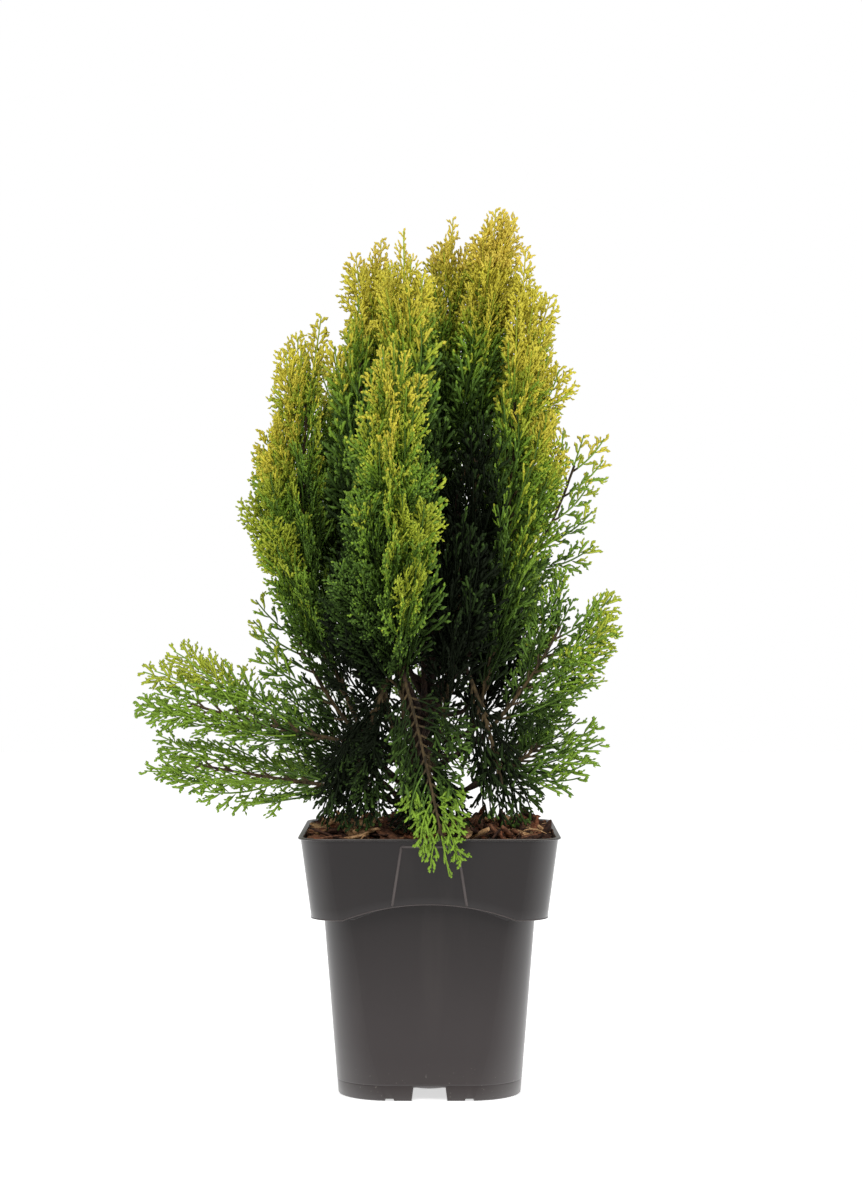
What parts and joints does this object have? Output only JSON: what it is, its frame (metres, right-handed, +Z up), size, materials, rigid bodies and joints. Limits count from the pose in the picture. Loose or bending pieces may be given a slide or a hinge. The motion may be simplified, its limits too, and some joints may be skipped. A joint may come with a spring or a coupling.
{
  "type": "potted thuja",
  "caption": "Young golden thuja with upright fern-like sprays on many steep boughs, standing in a tapered square nursery pot of mulched soil.",
  "frame": {"origin": "centre of the pot's underside, on the surface that it stands on", "axes": "+Z up along the pot's axis, -Y out of the pot's front with the label panel, +X to the right seen from the front"},
  "size_m": [0.3202, 0.2305, 0.587],
  "materials": {
    "pot": "satin dark taupe moulded plastic, paler where worn at the rim",
    "soil": "moist peat under loose bark chips and fibres",
    "bark": "young stringy red-brown conifer bark",
    "foliage_gold": "golden young scale leaves, satin",
    "foliage_green": "fresh green scale leaves, satin",
    "foliage_deep": "shaded deep green scale leaves, matte"
  },
  "bodies": {
    "root": {"pot": "pot", "soil": "soil", "trunk": "bark", "crown_left_bough": "bark", "crown_middle_bough": "bark", "crown_front_bough": "bark", "right_shoulder_bough": "bark", "left_shoulder_bough": "bark", "left_plume_bough": "bark", "front_plume_bough": "bark", "right_plume_bough": "bark", "back_left_plume_bough": "bark", "back_plume_bough": "bark", "back_right_plume_bough": "bark", "inner_left_bough": "bark", "inner_front_bough": "bark", "inner_right_front_bough": "bark", "inner_right_bough": "bark", "right_shoot_bough": "bark", "middle_left_spray_bough": "bark", "upper_left_spray_bough": "bark", "lower_left_spray_bough": "bark", "upper_right_spray_bough": "bark", "lower_right_spray_bough": "bark", "front_droop_bough": "bark", "front_left_skirt_bough": "bark", "front_skirt_bough": "bark", "front_right_skirt_bough": "bark", "back_left_skirt_bough": "bark", "back_skirt_bough": "bark", "back_right_skirt_bough": "bark", "crown_right": "foliage_gold", "crown_left": "foliage_gold", "crown_middle": "foliage_gold", "crown_front": "foliage_gold", "right_shoulder": "foliage_gold", "left_shoulder": "foliage_gold", "left_plume": "foliage_green", "front_plume": "foliage_green", "right_plume": "foliage_green", "back_left_plume": "foliage_green", "back_plume": "foliage_green", "back_right_plume": "foliage_green", "inner_left": "foliage_deep", "inner_front": "foliage_deep", "inner_right_front": "foliage_deep", "inner_right": "foliage_deep", "right_shoot": "foliage_green", "middle_left_spray": "foliage_green", "upper_left_spray": "foliage_green", "lower_left_spray": "foliage_green", "upper_right_spray": "foliage_green", "lower_right_spray": "foliage_green", "front_droop": "foliage_green", "front_left_skirt": "foliage_deep", "front_skirt": "foliage_deep", "front_right_skirt": "foliage_deep", "back_left_skirt": "foliage_deep", "back_skirt": "foliage_deep", "back_right_skirt": "foliage_deep"}
  },
  "joints": []
}
